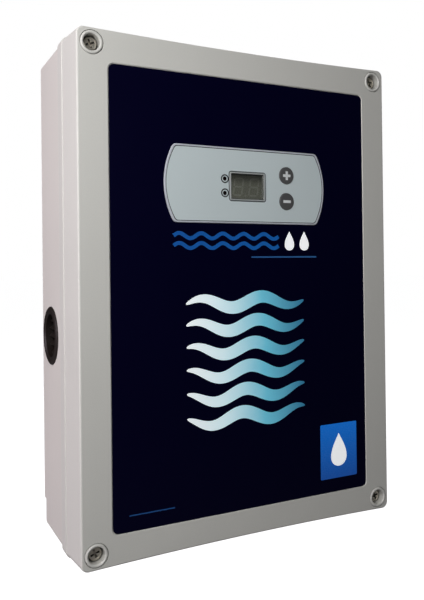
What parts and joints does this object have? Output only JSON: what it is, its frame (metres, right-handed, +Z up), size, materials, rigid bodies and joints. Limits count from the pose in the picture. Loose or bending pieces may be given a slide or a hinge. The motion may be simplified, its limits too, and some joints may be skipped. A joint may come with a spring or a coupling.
{
  "type": "salt chlorine generator",
  "caption": "Wall-hung salt chlorine generator: grey two-part plastic box with a dark front label, a keypad plate with display and keys, side vents and cable glands below.",
  "frame": {"origin": "centre of the four wall holes, on the wall plane", "axes": "+X to the right as seen from the front, +Y into the wall, +Z up"},
  "size_m": [0.243, 0.097, 0.358],
  "materials": {
    "enclosure_grey": "fine moulded texture",
    "lid_grey": "fine moulded texture",
    "bush_grey": "satin",
    "label_dark": "semi-gloss printed film",
    "keypad_border": "satin",
    "keypad_grey": "fine textured film",
    "display_dark": "gloss",
    "window_smoke": "smoked",
    "key_dark": "satin",
    "switch_black": "satin",
    "led_dark": "unlit",
    "seal_rubber": "matt",
    "zinc_steel": "zinc plated",
    "brass": "turned",
    "board_green": "solder mask",
    "terminal_green": "satin",
    "relay_body": "gloss",
    "capacitor_sleeve": "shrunk sleeve",
    "fuse_glass": "clear",
    "heat_sink_black": "black anodised",
    "transformer_wrap": "steel core and copper windings under yellow polyester tape",
    "wire_sleeve": "wire insulation",
    "ribbon_grey": "ribbed cable",
    "gland_black": "moulded nylon",
    "foam_black": "open foam"
  },
  "bodies": {
    "enclosure": {"rear_enclosure": "enclosure_grey", "lid_gasket": "seal_rubber", "screw_inserts": "brass", "toroidal_transformer": "transformer_wrap", "transformer_pads": "seal_rubber", "transformer_washer": "zinc_steel", "transformer_bolt": "zinc_steel", "transformer_leads": "wire_sleeve", "power_board": "board_green", "m3_screws": "zinc_steel", "mains_terminal_block": "terminal_green", "cell_terminal_block": "terminal_green", "sensor_terminal_block": "terminal_green", "terminal_screws": "zinc_steel", "polarity_relays": "relay_body", "filter_capacitors": "capacitor_sleeve", "fuse_holder": "zinc_steel", "mains_fuse": "fuse_glass", "heat_sink": "heat_sink_black", "bridge_rectifier": "zinc_steel", "ribbon_header": "switch_black", "ribbon_cable": "ribbon_grey", "ribbon_sockets": "switch_black", "side_vents": "gland_black", "vent_filters": "foam_black", "gland_bodies": "gland_black", "gland_locknuts": "gland_black"},
    "lid": {"lid": "lid_grey", "screw_bushes": "bush_grey", "front_label": "label_dark", "keypad_bezel": "keypad_border", "keypad_overlay": "keypad_grey", "display_frame": "display_dark", "display_window": "window_smoke", "digit_module": "display_dark", "status_leds": "led_dark", "display_board": "board_green", "display_board_screws": "zinc_steel", "key_switches": "switch_black", "controller_chip": "switch_black", "display_header": "switch_black"},
    "plus_key": {"plus_key": "key_dark", "plus_plunger": "switch_black"},
    "minus_key": {"minus_key": "key_dark", "minus_plunger": "switch_black"},
    "washer_upper_left": {"screw_washer_upper_left": "seal_rubber"},
    "screw_upper_left": {"lid_screw_upper_left": "zinc_steel"},
    "washer_upper_right": {"screw_washer_upper_right": "seal_rubber"},
    "screw_upper_right": {"lid_screw_upper_right": "zinc_steel"},
    "washer_lower_left": {"screw_washer_lower_left": "seal_rubber"},
    "screw_lower_left": {"lid_screw_lower_left": "zinc_steel"},
    "washer_lower_right": {"screw_washer_lower_right": "seal_rubber"},
    "screw_lower_right": {"lid_screw_lower_right": "zinc_steel"},
    "sensor_seal": {"sensor_gland_seal": "seal_rubber"},
    "sensor_nut": {"sensor_gland_nut": "gland_black"},
    "cell_seal": {"cell_gland_seal": "seal_rubber"},
    "cell_nut": {"cell_gland_nut": "gland_black"},
    "mains_seal": {"mains_gland_seal": "seal_rubber"},
    "mains_nut": {"mains_gland_nut": "gland_black"}
  },
  "joints": [
    {"name": "lid_lift", "type": "slide", "parent": "enclosure", "child": "lid", "axis": [0, -1, 0], "range_m": [0, 0.1]},
    {"name": "screw_advance_upper_left", "type": "slide", "parent": "lid", "child": "washer_upper_left", "axis": [0, -1, 0], "range_m": [0, 0.0084]},
    {"name": "screw_turn_upper_left", "type": "hinge", "parent": "washer_upper_left", "child": "screw_upper_left", "pos_m": [-0.1093, -0.07, 0.1574], "axis": [0, -1, 0], "range_deg": [0, 4320]},
    {"name": "screw_advance_upper_right", "type": "slide", "parent": "lid", "child": "washer_upper_right", "axis": [0, -1, 0], "range_m": [0, 0.0084]},
    {"name": "screw_turn_upper_right", "type": "hinge", "parent": "washer_upper_right", "child": "screw_upper_right", "pos_m": [0.1093, -0.07, 0.1574], "axis": [0, -1, 0], "range_deg": [0, 4320]},
    {"name": "screw_advance_lower_left", "type": "slide", "parent": "lid", "child": "washer_lower_left", "axis": [0, -1, 0], "range_m": [0, 0.0084]},
    {"name": "screw_turn_lower_left", "type": "hinge", "parent": "washer_lower_left", "child": "screw_lower_left", "pos_m": [-0.1093, -0.07, -0.1574], "axis": [0, -1, 0], "range_deg": [0, 4320]},
    {"name": "screw_advance_lower_right", "type": "slide", "parent": "lid", "child": "washer_lower_right", "axis": [0, -1, 0], "range_m": [0, 0.0084]},
    {"name": "screw_turn_lower_right", "type": "hinge", "parent": "washer_lower_right", "child": "screw_lower_right", "pos_m": [0.1093, -0.07, -0.1574], "axis": [0, -1, 0], "range_deg": [0, 4320]},
    {"name": "plus_press", "type": "slide", "parent": "lid", "child": "plus_key", "axis": [0, 1, 0], "range_m": [0, 0.0005]},
    {"name": "minus_press", "type": "slide", "parent": "lid", "child": "minus_key", "axis": [0, 1, 0], "range_m": [0, 0.0005]},
    {"name": "sensor_seal_squeeze", "type": "slide", "parent": "enclosure", "child": "sensor_seal", "axis": [0, 0, 1], "range_m": [0, 0.003]},
    {"name": "sensor_nut_turn", "type": "hinge", "parent": "sensor_seal", "child": "sensor_nut", "pos_m": [-0.06, -0.027, -0.18], "axis": [0, 0, 1], "range_deg": [0, 720]},
    {"name": "cell_seal_squeeze", "type": "slide", "parent": "enclosure", "child": "cell_seal", "axis": [0, 0, 1], "range_m": [0, 0.003]},
    {"name": "cell_nut_turn", "type": "hinge", "parent": "cell_seal", "child": "cell_nut", "pos_m": [0, -0.027, -0.18], "axis": [0, 0, 1], "range_deg": [0, 720]},
    {"name": "mains_seal_squeeze", "type": "slide", "parent": "enclosure", "child": "mains_seal", "axis": [0, 0, 1], "range_m": [0, 0.003]},
    {"name": "mains_nut_turn", "type": "hinge", "parent": "mains_seal", "child": "mains_nut", "pos_m": [0.06, -0.027, -0.18], "axis": [0, 0, 1], "range_deg": [0, 720]}
  ],
  "couplings": [
    {"joint": "screw_turn_upper_left", "follows": "screw_advance_upper_left", "rad_per_m": 8976},
    {"joint": "screw_turn_upper_right", "follows": "screw_advance_upper_right", "rad_per_m": 8976},
    {"joint": "screw_turn_lower_left", "follows": "screw_advance_lower_left", "rad_per_m": 8976},
    {"joint": "screw_turn_lower_right", "follows": "screw_advance_lower_right", "rad_per_m": 8976},
    {"joint": "sensor_nut_turn", "follows": "sensor_seal_squeeze", "rad_per_m": 4188.8},
    {"joint": "cell_nut_turn", "follows": "cell_seal_squeeze", "rad_per_m": 4188.8},
    {"joint": "mains_nut_turn", "follows": "mains_seal_squeeze", "rad_per_m": 4188.8}
  ]
}
